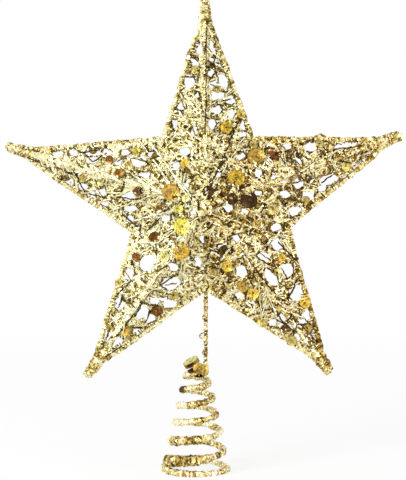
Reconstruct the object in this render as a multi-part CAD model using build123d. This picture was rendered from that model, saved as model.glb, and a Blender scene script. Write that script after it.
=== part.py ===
from build123d import *
import math
import os

os.makedirs("parts", exist_ok=True)

# Tree topper star: a wire star, wound with glittered strands and sequins,
# on a stem that rises from a conical wire spring. +Z is up, the star faces -Y,
# and the origin is the middle of the spring's mouth, where the tree's leader goes in.

# Star, measured to the axes of its wires
star_tip_radius = 105.0
star_corner_radius = 40.6
star_half_depth = 25.0
star_centre_height = 133.8
star_offset = 4.7
arm_names = ("top", "left", "lower_left", "lower_right", "right")
arm_count = len(arm_names)
first_arm_degrees = 90.0
arm_bend_degrees = (0.2, 1.2, 1.0, 0.7, 2.2)
corner_bend_degrees = (-4.0, 1.2, 0.1, 4.0, 1.3)
corner_reach_shares = (0.99, 0.94, 1.01, 1.05, 1.02)

# Frame wires, and the bundle that they end in at each tip
frame_wire_diameter = 2.1
wire_gap = 0.1
tip_run = 12.0
tip_bend_radius = 9.0
tip_stagger = 0.9
hub_radius = 3.0
hub_thickness = 3.0
hub_crown = 0.9

# Tip bindings
binding_wire_diameter = 0.7
binding_turns = 3
binding_pitch = 1.3
binding_setback = 5.0
binding_gap = 0.15

# Nets
net_thickness = 1.0
strand_width = 1.25
net_gap = 0.2
valley_gap = 0.45
strands_per_facet = 9
strand_slant_share = 0.17
strand_jitter_share = 0.12
golden_share = (math.sqrt(5) - 1) / 2

# Sequins: diameters of the three cuts, and the places of those on the front in pixels
# of the photograph, like the star's centre, tips and inner corners there
large_sequin = 8.4
medium_sequin = 5.8
small_sequin = 4.4
sequin_thickness = 0.4
sequin_hole_diameter = 1.2
sequin_lift = 0.1
sequin_gap = 0.2
photo_centre = Vector(205.8, 206.6)
photo_tips = ((205, -1), (5, 146), (87, 376), (332, 376), (400, 135))
photo_corners = ((163, 137), (133, 232), (206, 290), (291, 227), (254, 137))
large_sequin_pixels = ((184, 227), (180, 250), (171, 194), (236, 180), (256, 158), (248, 199))
medium_sequin_pixels = (
    (166, 257), (207, 192), (138, 190), (225, 128), (231, 198), (273, 157),
    (228, 265), (243, 285), (254, 292), (272, 208), (304, 303), (263, 320), (292, 339),
    (157, 310), (124, 329), (156, 237), (345, 165), (297, 174),
)
small_sequin_pixels = (
    (186, 164), (137, 153), (102, 181), (129, 167), (110, 161), (281, 258),
    (240, 115), (216, 90), (196, 70), (137, 257), (319, 145), (108, 345),
    (186, 200), (180, 208), (161, 205), (82, 162), (84, 176), (119, 174), (253, 146),
    (255, 224), (277, 273), (313, 347), (120, 283), (173, 294), (214, 272), (305, 199),
)

# Stem
stem_wire_diameter = 2.0
stem_bend_radius = 7.0
stem_seat_gap = 0.1
stem_winding_diameter = 0.9
stem_winding_turns = 7
stem_winding_gap = 0.12
stem_winding_setback = 3.0
stem_winding_below_corner = 6.0

# Spring
spring_wire_diameter = 2.5
spring_foot_radius = 15.3
spring_foot_flare = 1.0
spring_head_radius = 4.9
spring_turns = 5.75
spring_foot_turns = 0.6
spring_start_turn_share = 0.1
spring_foot_pitch = 10.5
spring_head_pitch = 6.75
spring_head_rise = 4.6
quarter_turn_share = 0.25

# Sequins piled on the spring's head: one lies on the top turn, the rest lean on it
head_seat_turn_shares = (0.35, 0.0)
head_seat_gap = 0.55
head_bed_left = 0.9
head_bed_back = 0.6
head_pile_count = 3
head_pile_tilt = 14.0
head_pile_nod = 20.0
head_pile_gap = 0.25
head_pile_back = 0.8
head_pile_left = 1.2
head_pile_spacing = 1.1

samples_per_arc = 4
settling_rounds = 40

frame_radius = frame_wire_diameter / 2
bundle_half_width = (frame_wire_diameter + wire_gap) / 2
bundle_half_depth = bundle_half_width * math.sqrt(3)
spring_radius = spring_wire_diameter / 2
star_centre = Vector(star_offset, 0, star_centre_height)
to_rear = Vector(0, 1, 0)
upward = Vector(0, 0, 1)
front, rear = -1, 1
face_names = {front: "front", rear: "rear"}


def write(name, *solids):
    node = solids[0] if len(solids) == 1 else Compound(children=list(solids))
    node.label = name
    export_step(node, f"parts/{name}.step")


def tube(path, diameter):
    section = Plane(origin=path @ 0, z_dir=path % 0) * Circle(diameter / 2)
    return sweep(section, path=path).solid()


def biarc(start, start_way, end, end_way):
    reach = end - start
    along = reach.dot(start_way + end_way)
    spread = 2 * (1 - start_way.dot(end_way))
    arm = (math.sqrt(along**2 + spread * reach.dot(reach)) - along) / spread
    near = start + start_way * arm
    far = end - end_way * arm
    middle = (near + far) / 2
    return [
        Edge.make_tangent_arc(start, start_way, middle),
        Edge.make_tangent_arc(middle, (far - near).normalized(), end),
    ]


def wound_edges(stops):
    edges = []
    for (start, start_way), (end, end_way) in zip(stops, stops[1:]):
        edges += biarc(start, start_way, end, end_way)
    return edges


def least_gap(edges, diameter):
    points, travelled, length = [], [], 0.0
    for edge in edges:
        for step in range(samples_per_arc):
            points.append(edge @ (step / samples_per_arc))
            travelled.append(length + edge.length * step / samples_per_arc)
        length += edge.length
    apart = math.pi * diameter
    return min(
        (points[i] - points[j]).length - diameter
        for i in range(len(points))
        for j in range(i)
        if travelled[i] - travelled[j] > apart
    )


def report_winding(name, solid, edges, diameter):
    length = sum(edge.length for edge in edges)
    fill = solid.volume / (math.pi * diameter**2 / 4 * length)
    print(f"{name}: least gap {least_gap(edges, diameter):.2f} mm, volume share {fill:.3f}")


# Arms and corners of the star

def polar_way(degrees):
    angle = math.radians(degrees)
    return Vector(math.cos(angle), 0, math.sin(angle))


def arm_way(arm):
    return polar_way(first_arm_degrees + 360 * arm / arm_count + arm_bend_degrees[arm])


def across_way(arm):
    return to_rear.cross(arm_way(arm)) * -1


def corner_place(corner):
    degrees = first_arm_degrees + 360 * (corner + 1 / 2) / arm_count + corner_bend_degrees[corner]
    return star_centre + polar_way(degrees) * (star_corner_radius * corner_reach_shares[corner])


def hub_place(face):
    return star_centre + to_rear * (face * star_half_depth)


def bundle_place(arm, radius, side, face):
    place = star_centre + arm_way(arm) * radius
    return place + across_way(arm) * (side * bundle_half_width) + to_rear * (face * bundle_half_depth)


def corner_of(arm, side):
    return arm if side > 0 else (arm - 1) % arm_count


# Outline wires: each runs from an inner corner, where it is mitred against its
# neighbour, to a tip, where it bends into the bundle

def outline_bend(arm, side):
    return bundle_place(arm, star_tip_radius - tip_run, side, 0)


def outline_wire(arm, side):
    corner = corner_of(arm, side)
    neighbour = (arm + side) % arm_count
    inner = corner_place(corner)
    bend = outline_bend(arm, side)
    stagger = tip_stagger if side > 0 else 0
    end = bundle_place(arm, star_tip_radius - stagger, side, 0)
    way = (bend - inner).normalized()
    neighbour_way = (outline_bend(neighbour, -side) - inner).normalized()
    start = inner - way * frame_wire_diameter
    wire = tube(FilletPolyline(start, bend, end, radius=tip_bend_radius), frame_wire_diameter)
    facing = (way - neighbour_way).normalized()
    mitre = Plane(origin=inner + facing * (wire_gap / 2), z_dir=facing)
    return split(wire, bisect_by=mitre, keep=Keep.TOP).solid()


# Ridge wires: each runs from the hub at the middle of one face to a tip

def ridge_bend(arm, face):
    return bundle_place(arm, star_tip_radius - tip_run, 0, face)


def ridge_wire(arm, face):
    hub = hub_place(face)
    bend = ridge_bend(arm, face)
    start = hub + (bend - hub).normalized() * (hub_radius + wire_gap)
    end = bundle_place(arm, star_tip_radius, 0, face)
    return tube(FilletPolyline(start, bend, end, radius=tip_bend_radius), frame_wire_diameter)


# The weld that joins the ridge wires at the middle of a face: a round bead with crowned ends

def hub_weld(face):
    bead = Cylinder(hub_radius, hub_thickness)
    bead = fillet(bead.edges().filter_by(GeomType.CIRCLE), hub_crown)
    return (Plane(origin=hub_place(face), z_dir=to_rear * face) * bead).solid()


# Tip bindings: fine wire wound round the four wires of a tip, on an oval that clears them

def tip_binding_stops(arm):
    wide = bundle_half_width + frame_radius + binding_gap + binding_wire_diameter / 2
    deep = bundle_half_depth + frame_radius + binding_gap + binding_wire_diameter / 2
    out, across = arm_way(arm), across_way(arm)
    foot = star_centre + out * (star_tip_radius - binding_setback - binding_turns * binding_pitch)
    stops = []
    for quarter in range(round(binding_turns / quarter_turn_share) + 1):
        turn = quarter * quarter_turn_share
        angle = math.tau * turn
        place = across * (wide * math.cos(angle)) + to_rear * (deep * math.sin(angle))
        way = to_rear * (deep * math.cos(angle)) - across * (wide * math.sin(angle))
        way += out * (binding_pitch / math.tau)
        stops.append((foot + place + out * (binding_pitch * turn), way.normalized()))
    return stops


# Nets: one flat holed sheet for each facet, between a ridge wire and an outline wire

def cut(polygon, place, inward):
    kept = []
    for start, end in zip(polygon, polygon[1:] + polygon[:1]):
        before = (start - place).dot(inward)
        after = (end - place).dot(inward)
        if before >= 0:
            kept.append(start)
        if before * after < 0:
            kept.append(start + (end - start) * (before / (before - after)))
    return kept


def area_of(polygon):
    return sum(a.X * b.Y - a.Y * b.X for a, b in zip(polygon, polygon[1:] + polygon[:1])) / 2


def inset(polygon, widths):
    shrunk = polygon
    for start, end, width in zip(polygon, polygon[1:] + polygon[:1], widths):
        inward = Vector(start.Y - end.Y, end.X - start.X, 0).normalized()
        shrunk = cut(shrunk, start + inward * width, inward)
        if len(shrunk) < 3:
            return []
    return shrunk


def even_inset(polygon, width):
    return inset(polygon, [width] * len(polygon))


def facet(arm, side, face):
    hub, corner = hub_place(face), corner_place(corner_of(arm, side))
    tip = (outline_bend(arm, side) + ridge_bend(arm, face)) / 2
    outward = (tip - hub).cross(corner - hub).normalized()
    outward = outward * (face if outward.Y > 0 else -face)
    plane = Plane(origin=hub, x_dir=tip - hub, z_dir=outward)
    return plane, [plane.to_local_coords(place) for place in (hub, tip, corner)]


def net_border(corners):
    hub, tip, corner = corners
    beside_wire = frame_radius + net_gap
    if area_of(corners) > 0:
        border = inset([hub, tip, corner], [beside_wire, beside_wire, valley_gap])
    else:
        border = inset([hub, corner, tip], [valley_gap, beside_wire, beside_wire])
    away = ((tip - hub).normalized() + (corner - hub).normalized()).normalized()
    return cut(border, hub + away * (hub_radius + net_gap), away)


def pixel_shares(pixel):
    # The arm, its side, and the shares of the way to the tip's bend and to the corner
    spot = Vector(*pixel) - photo_centre
    for arm, side in [(arm, side) for arm in range(arm_count) for side in (1, -1)]:
        tip_way = Vector(*photo_tips[arm]) - photo_centre
        corner_way = Vector(*photo_corners[corner_of(arm, side)]) - photo_centre
        span = tip_way.cross(corner_way).Z
        tip_share = spot.cross(corner_way).Z / span
        corner_share = tip_way.cross(spot).Z / span
        if tip_share >= 0 and corner_share >= 0:
            return arm, side, tip_share * star_tip_radius / (star_tip_radius - tip_run), corner_share


def sequin_list():
    cuts = (
        (large_sequin, large_sequin_pixels),
        (medium_sequin, medium_sequin_pixels),
        (small_sequin, small_sequin_pixels),
    )
    return [(pixel_shares(pixel), diameter) for diameter, pixels in cuts for pixel in pixels]


def sequins_of(arm, side, face):
    # The rear has the same scatter as the front, seen from behind
    shown_arm, shown_side = (arm, side) if face == front else (-arm % arm_count, -side)
    return [
        (shares[2:], diameter)
        for shares, diameter in sequin_list()
        if shares[:2] == (shown_arm, shown_side)
    ]


def sequin_spots(corners, border, discs):
    # The photographed places, moved off the wires and apart where flat sequins would meet
    hub, tip, corner = corners
    placed = []
    for shares, diameter in discs:
        spot = hub + (tip - hub) * shares[0] + (corner - hub) * shares[1]
        for _ in range(settling_rounds):
            for start, end in zip(border, border[1:] + border[:1]):
                inward = Vector(start.Y - end.Y, end.X - start.X, 0).normalized()
                overhang = diameter / 2 - (spot - start).dot(inward)
                spot += inward * max(overhang, 0)
            for other, other_diameter in placed:
                clear = (diameter + other_diameter) / 2 + sequin_gap
                away = spot - other
                spot += away.normalized() * max(clear - away.length, 0)
        placed.append((spot, diameter))
    return placed


def strand_lines(corners, spots, seed):
    # A strand passes under each sequin, and the others fill the facet from the hub to the tip
    hub, tip, corner = corners
    lines = []
    plain = max(strands_per_facet - len(spots), 2)
    for number in range(plain):
        jitter = ((number + seed) * golden_share % 1 - 1 / 2) * strand_jitter_share
        ridge_share = (number + 1 / 2) / plain * (1 - strand_slant_share) + jitter
        slant = strand_slant_share if (number + seed) % 2 else -strand_slant_share
        outline_share = min(max(ridge_share + slant, strand_jitter_share), 1 - strand_jitter_share)
        lines.append((hub + (tip - hub) * ridge_share, corner + (tip - corner) * outline_share))
    for number, spot in enumerate(spots):
        aim_share = (number * golden_share + seed * golden_share**2) % 1
        lines.append((spot, hub + (tip - hub) * aim_share))
    return lines


def net(arm, side, face):
    plane, corners = facet(arm, side, face)
    border = net_border(corners)
    spots = [spot for spot, _ in sequin_spots(corners, border, sequins_of(arm, side, face))]
    cells = [even_inset(border, strand_width / 2)]
    seed = arm * 4 + (side > 0) * 2 + (face > 0)
    for start, end in strand_lines(corners, spots, seed):
        across = Vector(start.Y - end.Y, end.X - start.X, 0).normalized()
        halves = [cut(cell, start, way) for cell in cells for way in (across, across * -1)]
        cells = [half for half in halves if len(half) > 2]
    holes = [even_inset(cell, strand_width / 2) for cell in cells]
    holes = [hole for hole in holes if len(hole) > 2 and area_of(hole) > strand_width**2]
    sheet = Face(Wire.make_polygon(border), [Wire.make_polygon(hole) for hole in holes])
    half_sheet = Vector(0, 0, net_thickness / 2)
    solid = Solid.extrude(sheet.translate(half_sheet * -1), half_sheet * 2)
    return plane * solid, len(holes)


def sequins(arm, side, face):
    plane, corners = facet(arm, side, face)
    border = net_border(corners)
    height = net_thickness / 2 + sequin_lift + sequin_thickness / 2
    placed = sequin_spots(corners, border, sequins_of(arm, side, face))
    return [plane * Pos(spot.X, spot.Y, height) * sequin(diameter) for spot, diameter in placed]


def sequin(diameter):
    disc = Cylinder(diameter / 2, sequin_thickness) - Cylinder(sequin_hole_diameter / 2, sequin_thickness)
    return disc.solid()


# Spring: a flat, flared foot of most of a turn, then turns that close in and tighten
# towards the head, where the wire bends up into the stem

def spring_stop(turn):
    climb = max(turn, 0)
    fade = (spring_head_pitch - spring_foot_pitch) / (2 * spring_turns)
    closing = (spring_head_radius - spring_foot_radius) / spring_turns
    if turn < 0:
        closing = -spring_foot_flare / spring_foot_turns
    radius = spring_foot_radius + closing * turn
    pitch = spring_foot_pitch + 2 * fade * climb if turn > 0 else 0
    height = spring_radius + spring_foot_pitch * climb + fade * climb**2
    angle = math.tau * (turn + spring_start_turn_share)
    place = Vector(radius * math.cos(angle), radius * math.sin(angle), height)
    inward = closing / math.tau
    way = Vector(
        inward * math.cos(angle) - radius * math.sin(angle),
        inward * math.sin(angle) + radius * math.cos(angle),
        pitch / math.tau,
    )
    return place, way.normalized()


def spring_stops():
    stops = []
    quarters = round((spring_turns + spring_foot_turns) / quarter_turn_share)
    for quarter in range(quarters):
        stops.append(spring_stop(quarter * quarter_turn_share - spring_foot_turns))
    stops.append(spring_stop(spring_turns))
    stops.append((stem_foot(), upward))
    return stops


def stem_behind():
    return (frame_wire_diameter + stem_wire_diameter) / 2 + stem_seat_gap


def stem_foot():
    head = spring_stop(spring_turns)[0]
    return Vector(star_offset, stem_behind(), head.Z + spring_head_rise)


# Stem: straight up from the spring, past the rear of the bottom corner, then along the
# groove between the two lower arms to the rear hub

def stem_points():
    corner = corner_place(arm_names.index("lower_left"))
    foot, hub = stem_foot(), hub_place(rear)
    groove = (hub - corner).normalized()
    out_of_groove = Vector(0, groove.Z, -groove.Y) * stem_behind()
    top = hub - groove * (hub_radius + stem_wire_diameter) + out_of_groove
    return foot, Vector(foot.X, foot.Y, corner.Z), Vector(foot.X, top.Y, top.Z)


def stem_winding_stops():
    foot, bend, _ = stem_points()
    radius = (stem_wire_diameter + stem_winding_diameter) / 2 + stem_winding_gap
    low = foot.Z + stem_winding_setback
    pitch = (bend.Z - stem_winding_below_corner - low) / stem_winding_turns
    stops = []
    for quarter in range(round(stem_winding_turns / quarter_turn_share) + 1):
        turn = quarter * quarter_turn_share
        angle = math.tau * turn
        place = Vector(radius * math.cos(angle), radius * math.sin(angle), pitch * turn)
        way = Vector(-radius * math.sin(angle), radius * math.cos(angle), pitch / math.tau)
        stops.append((Vector(foot.X, foot.Y, low) + place, way.normalized()))
    return stops


def head_seat(turn):
    place, _ = spring_stop(turn)
    beside = math.hypot(place.X, place.Y) - large_sequin / 2
    reach = spring_radius + head_seat_gap + sequin_thickness / 2
    return place + upward * math.sqrt(max(reach**2 - beside**2, 0))


def head_sequins():
    low, high = [head_seat(spring_turns - share) for share in head_seat_turn_shares]
    slope = high - low
    level = upward.cross(slope).normalized()
    normal = slope.cross(level).normalized()
    axis_height = low.Z + (normal.X * low.X + normal.Y * low.Y) / normal.Z
    bed = Plane(origin=(0, 0, axis_height), x_dir=Vector(1, 0, -normal.X / normal.Z), z_dir=normal)
    tilt = math.radians(head_pile_tilt)
    nod = math.radians(head_pile_nod)
    slant = math.acos(math.cos(tilt) * math.cos(nod))
    rise = large_sequin / 2 * math.sin(slant) + sequin_thickness * (1 + math.cos(slant)) / 2
    turned = Rot(head_pile_nod, 0, 0) * Rot(0, -head_pile_tilt, 0)
    lean = Pos(-head_pile_left, head_pile_back, rise + head_pile_gap) * turned
    pile = [
        bed * lean * Pos(0, 0, head_pile_spacing * number) * sequin(large_sequin)
        for number in range(head_pile_count)
    ]
    return [bed * Pos(-head_bed_left, head_bed_back, 0) * sequin(large_sequin), *pile]


gap_count = 0
for arm, arm_name in enumerate(arm_names):
    for side in (1, -1):
        number = 1 if side > 0 else 2
        write(f"{arm_name}_arm_outline_wire_{number}", outline_wire(arm, side))
    for face in (front, rear):
        write(f"{arm_name}_arm_{face_names[face]}_ridge_wire", ridge_wire(arm, face))
        sheets = [net(arm, side, face) for side in (1, -1)]
        gap_count += sum(count for _, count in sheets)
        write(f"{arm_name}_arm_{face_names[face]}_net", *[sheet for sheet, _ in sheets])
        discs = [disc for side in (1, -1) for disc in sequins(arm, side, face)]
        write(f"{arm_name}_arm_{face_names[face]}_sequins", *discs)
    turns = wound_edges(tip_binding_stops(arm))
    binding = tube(Wire(turns), binding_wire_diameter)
    report_winding(f"{arm_name} tip binding", binding, turns, binding_wire_diameter)
    write(f"{arm_name}_arm_tip_binding", binding)

for face in (front, rear):
    write(f"{face_names[face]}_hub_weld", hub_weld(face))

stem = tube(FilletPolyline(*stem_points(), radius=stem_bend_radius), stem_wire_diameter)
write("stem_wire", stem)

turns = wound_edges(stem_winding_stops())
winding = tube(Wire(turns), stem_winding_diameter)
report_winding("stem winding", winding, turns, stem_winding_diameter)
write("stem_winding", winding)

turns = wound_edges(spring_stops())
spring = tube(Wire(turns), spring_wire_diameter)
report_winding("spring", spring, turns, spring_wire_diameter)
write("conical_spring", spring)

write("spring_head_sequins", *head_sequins())
print(f"net gaps: {gap_count}")
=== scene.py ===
import math
import random
from bisect import bisect_right
import bmesh
import bpy
import numpy as np
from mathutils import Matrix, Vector, noise


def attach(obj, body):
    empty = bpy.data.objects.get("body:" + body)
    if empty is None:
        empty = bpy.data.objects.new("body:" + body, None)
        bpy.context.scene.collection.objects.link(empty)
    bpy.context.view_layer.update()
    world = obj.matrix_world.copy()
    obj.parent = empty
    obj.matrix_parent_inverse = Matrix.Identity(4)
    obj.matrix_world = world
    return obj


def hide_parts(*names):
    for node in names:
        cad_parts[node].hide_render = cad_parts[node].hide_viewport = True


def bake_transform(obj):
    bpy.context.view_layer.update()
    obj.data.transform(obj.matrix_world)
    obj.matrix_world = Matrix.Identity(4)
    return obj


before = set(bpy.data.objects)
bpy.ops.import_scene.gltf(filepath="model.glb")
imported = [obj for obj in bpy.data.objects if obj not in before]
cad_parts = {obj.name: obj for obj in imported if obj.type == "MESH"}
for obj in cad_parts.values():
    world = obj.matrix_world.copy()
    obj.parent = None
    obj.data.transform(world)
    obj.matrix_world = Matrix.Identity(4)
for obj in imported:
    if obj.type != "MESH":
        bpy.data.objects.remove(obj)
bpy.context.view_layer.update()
print("frame loaded:", len(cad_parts), "nodes")

mm = 0.001  # lengths below are in millimetres, meshes in metres
toRear = Vector((0, 1, 0))
upward = Vector((0, 0, 1))
front, rear = -1, 1
faceNames = {front: "front", rear: "rear"}

# the star's wire lines, as in the solids
star = dict(
    arms=("top", "left", "lower_left", "lower_right", "right"),
    firstArm=90.0, tipRadius=105.0, cornerRadius=40.6, halfDepth=25.0,
    centre=Vector((4.7, 0, 133.8)),
    armBend=(0.2, 1.2, 1.0, 0.7, 2.2), cornerBend=(-4.0, 1.2, 0.1, 4.0, 1.3),
    cornerReach=(0.99, 0.94, 1.01, 1.05, 1.02),
    wireRadius=1.05, wireGap=0.1, tipRun=12.0, tipBend=9.0, tipStagger=0.9, hubRadius=3.0,
)
armCount = len(star["arms"])
bundleHalf = star["wireRadius"] + star["wireGap"] / 2
bundleDeep = bundleHalf * math.sqrt(3)


def polarWay(degrees):
    angle = math.radians(degrees)
    return Vector((math.cos(angle), 0, math.sin(angle)))


def armWay(arm):
    return polarWay(star["firstArm"] + 360 * arm / armCount + star["armBend"][arm])


def acrossWay(arm):
    return armWay(arm).cross(toRear)


def cornerPlace(corner):
    degrees = star["firstArm"] + 360 * (corner + 0.5) / armCount + star["cornerBend"][corner]
    return star["centre"] + polarWay(degrees) * star["cornerRadius"] * star["cornerReach"][corner]


def hubPlace(face):
    return star["centre"] + toRear * face * star["halfDepth"]


def bundlePlace(arm, radius, side, face):
    place = star["centre"] + armWay(arm) * radius
    return place + acrossWay(arm) * side * bundleHalf + toRear * face * bundleDeep


def cornerOf(arm, side):
    return arm if side > 0 else (arm - 1) % armCount


def wireEnds(arm, side, face):  # inner end, bend and outer end of a frame wire's axis
    bendRadius = star["tipRadius"] - star["tipRun"]
    endRadius = star["tipRadius"] - (star["tipStagger"] if side > 0 else 0)
    inner = cornerPlace(cornerOf(arm, side)) if side else hubPlace(face)
    return inner, bundlePlace(arm, bendRadius, side, face), bundlePlace(arm, endRadius, side, face)


# the photograph's view, in its pixels
view = dict(
    size=(406, 480), centrePixel=(203, 240), axisPixel=196.5, footPixel=471.5,
    pixel=0.505, distance=640, eyeHeight=131,  # millimetres
    sensor=36, clip=(0.01, 20),  # millimetres, then metres
)
viewCentre = Vector(((view["centrePixel"][0] - view["axisPixel"]) * view["pixel"], 0,
                     (view["footPixel"] - view["centrePixel"][1]) * view["pixel"]))
eye = Vector((viewCentre.x, -view["distance"], view["eyeHeight"]))
forward = (viewCentre - eye).normalized()
rightWay = forward.cross(upward).normalized()
overWay = rightWay.cross(forward)
pixelReach = view["distance"] / view["pixel"]


def toPixel(place):
    reach = place - eye
    scale = pixelReach / reach.dot(forward)
    return Vector((view["centrePixel"][0] + reach.dot(rightWay) * scale,
                   view["centrePixel"][1] - reach.dot(overWay) * scale))


def pixelOnPlane(pixel, through, normal):
    ray = forward * pixelReach + rightWay * (pixel[0] - view["centrePixel"][0])
    ray += overWay * (view["centrePixel"][1] - pixel[1])
    return eye + ray * ((through - eye).dot(normal) / ray.dot(normal))


# shapes: verts and faces pile up in a dictionary, with a shade for each face
def newShape():
    return dict(verts=[], faces=[], flake=[], strand=[])


def evenly(points, step):
    lengths = [0.0]
    for a, b in zip(points, points[1:]):
        lengths.append(lengths[-1] + (b - a).length)
    count = max(int(round(lengths[-1] / step)), 2)
    spread, at = [], 0
    for k in range(count + 1):
        goal = lengths[-1] * k / count
        while at < len(points) - 2 and lengths[at + 1] < goal:
            at += 1
        part = (goal - lengths[at]) / max(lengths[at + 1] - lengths[at], 1e-9)
        spread.append(points[at].lerp(points[at + 1], min(max(part, 0), 1)))
    return spread


def rounded(points, radius, steps=6):
    path = [points[0]]
    for before, corner, after in zip(points, points[1:], points[2:]):
        inWay, outWay = (corner - before).normalized(), (after - corner).normalized()
        cut = radius * math.tan(inWay.angle(outWay) / 2)
        start, end = corner - inWay * cut, corner + outWay * cut
        for k in range(steps + 1):
            t = k / steps
            path.append(start.lerp(corner, t).lerp(corner.lerp(end, t), t))
    return path + [points[-1]]


def addFaces(shape, faces, tone, rng):
    shape["faces"] += faces
    shape["flake"] += [rng.random() for _ in faces]
    shape["strand"] += [tone] * len(faces)


tube = dict(swellScale=0.35, endShare=0.72, seeds=(0, 100))  # what all wires and strands share


def waver(along, seed):  # a smooth ramble, about -1 to 1
    return noise.noise(Vector((along, seed, 0))) * 2


def addTube(shape, path, radius, rng, look, tone):  # radius and tone: numbers, or given by the place
    path = evenly(path, look["step"])
    across = (path[1] - path[0]).orthogonal().normalized()
    base, seed = len(shape["verts"]), rng.uniform(*tube["seeds"])
    count, sides = len(path), look["sides"]
    for k, place in enumerate(path):
        ahead = (path[min(k + 1, count - 1)] - path[max(k - 1, 0)]).normalized()
        across = (across - ahead * across.dot(ahead)).normalized()
        other = ahead.cross(across)
        thick = radius(place) if callable(radius) else radius
        thick *= 1 + look["swell"] * waver(k * look["step"] * tube["swellScale"], seed)
        thick *= tube["endShare"] if k in (0, count - 1) else 1
        for n in range(sides):
            angle = math.tau * (n + 0.5 * (k % 2)) / sides
            out = thick * (1 + rng.uniform(-look["rough"], look["rough"]))
            shape["verts"].append(place + (across * math.cos(angle) + other * math.sin(angle)) * out)
    for k in range(count - 1):
        shade = tone(path[k]) if callable(tone) else tone
        low, high = base + k * sides, base + (k + 1) * sides
        for n in range(sides):
            m = (n + 1) % sides
            pair = [(low + n, low + m, high + n), (low + m, high + m, high + n)]
            if k % 2:
                pair = [(low + n, low + m, high + m), (low + n, high + m, high + n)]
            addFaces(shape, pair, shade, rng)
    last = base + (count - 1) * sides
    ends = [tuple(base + n for n in reversed(range(sides))), tuple(last + n for n in range(sides))]
    addFaces(shape, ends, shade, rng)


def dashes(look, rng, shade=0.0):  # a tone that changes now and then along a wire
    kept = [rng.uniform(*look["tones"])]

    def toneAt(_):
        if rng.random() < look["change"]:
            kept[0] = rng.uniform(*look["tones"])
        return kept[0] + shade
    return toneAt


def addBead(shape, centre, look, rng):
    base, radii = len(shape["verts"]), look["radii"]
    rings, sides = look["rings"], look["sides"]
    shape["verts"].append(centre + upward * radii[2])
    for k in range(1, rings):
        polar = math.pi * k / rings
        for n in range(sides):
            turn = math.tau * (n + 0.5 * (k % 2)) / sides
            out = 1 + rng.uniform(-look["rough"], look["rough"])
            shape["verts"].append(centre + Vector((
                radii[0] * math.sin(polar) * math.cos(turn),
                radii[1] * math.sin(polar) * math.sin(turn),
                radii[2] * math.cos(polar),
            )) * out)
    shape["verts"].append(centre - upward * radii[2])
    bottom, faces = len(shape["verts"]) - 1, []
    for n in range(sides):
        m = (n + 1) % sides
        faces.append((base, base + 1 + n, base + 1 + m))
        faces.append((bottom, bottom - sides + m, bottom - sides + n))
        for k in range(rings - 2):
            low, high = base + 1 + k * sides, base + 1 + (k + 1) * sides
            faces.append((low + n, high + n, high + m))
            faces.append((low + n, high + m, low + m))
    addFaces(shape, faces, look["tone"], rng)


def makePiece(name, shape, material, node, body):
    mesh = bpy.data.meshes.new(name)
    mesh.from_pydata([v * mm for v in shape["verts"]], [], shape["faces"])
    if "tint" in shape:
        shades = mesh.attributes.new("tint", "FLOAT_COLOR", "FACE").data
        shades.foreach_set("color", [part for tint in shape["tint"] for part in tint])
    else:
        for key in ("flake", "strand"):
            mesh.attributes.new(key, "FLOAT", "FACE").data.foreach_set("value", shape[key])
    mesh.materials.append(material)
    mesh.update()
    piece = bpy.data.objects.new(name, mesh)
    bpy.context.scene.collection.objects.link(piece)
    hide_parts(node)
    if body:
        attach(piece, body)
    return piece


# materials
def newMaterial(name):
    material = bpy.data.materials.new(name)
    material.use_nodes = True
    tree = material.node_tree
    return material, tree.nodes, tree.links, tree.nodes["Principled BSDF"]


def addMath(nodes, links, operation, first, second):
    node = nodes.new("ShaderNodeMath")
    node.operation = operation
    for socket, value in zip(node.inputs, (first, second)):
        if isinstance(value, (int, float)):
            socket.default_value = value
        else:
            links.new(value, socket)
    return node.outputs[0]


def addRange(nodes, links, value, low, high):
    node = nodes.new("ShaderNodeMapRange")
    node.inputs["To Min"].default_value = low
    node.inputs["To Max"].default_value = high
    links.new(value, node.inputs["Value"])
    return node.outputs[0]


def addRelief(nodes, links, shader, look, height):
    relief = nodes.new("ShaderNodeBump")
    relief.inputs["Strength"].default_value = look["bump"]
    relief.inputs["Distance"].default_value = look["bumpDepth"]
    links.new(height, relief.inputs["Height"])
    links.new(relief.outputs[0], shader.inputs["Normal"])


# each ramp runs from near black, painted shade, through the gold to near white, painted sparkle
glitter = dict(
    cellScale=700, strandShare=0.48, facetShare=0.44, gloss=(0.2, 0.5), metallic=0.92,
    bump=0.5, bumpDepth=0.0003, paleArms=("top", "left", "lower_left"),
    frame=((0.0, (0.05, 0.022, 0.003)), (0.23, (0.11, 0.055, 0.007)), (0.39, (0.44, 0.28, 0.05)),
           (0.55, (0.86, 0.7, 0.27)), (0.74, (1.0, 0.96, 0.66)), (1.0, (1.0, 0.99, 0.9))),
    strand=((0.0, (0.05, 0.022, 0.003)), (0.22, (0.12, 0.058, 0.006)), (0.38, (0.47, 0.3, 0.05)),
            (0.54, (0.9, 0.74, 0.28)), (0.72, (1.0, 0.97, 0.72)), (1.0, (1.0, 1.0, 0.95))),
    # the pale ramp is painted light: a paler, cooler copy of the strand glitter for the arms on the lit
    # side
    pale=((0.0, (0.05, 0.03, 0.004)), (0.2, (0.12, 0.073, 0.01)), (0.35, (0.5, 0.36, 0.085)),
          (0.5, (0.88, 0.77, 0.36)), (0.7, (0.97, 0.94, 0.66)), (1.0, (0.99, 0.98, 0.86))),
    spring=((0.0, (0.05, 0.022, 0.003)), (0.2, (0.13, 0.062, 0.008)), (0.36, (0.46, 0.31, 0.07)),
            (0.52, (0.86, 0.72, 0.33)), (0.72, (0.98, 0.95, 0.72)), (1.0, (1.0, 0.99, 0.93))),
)


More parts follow.
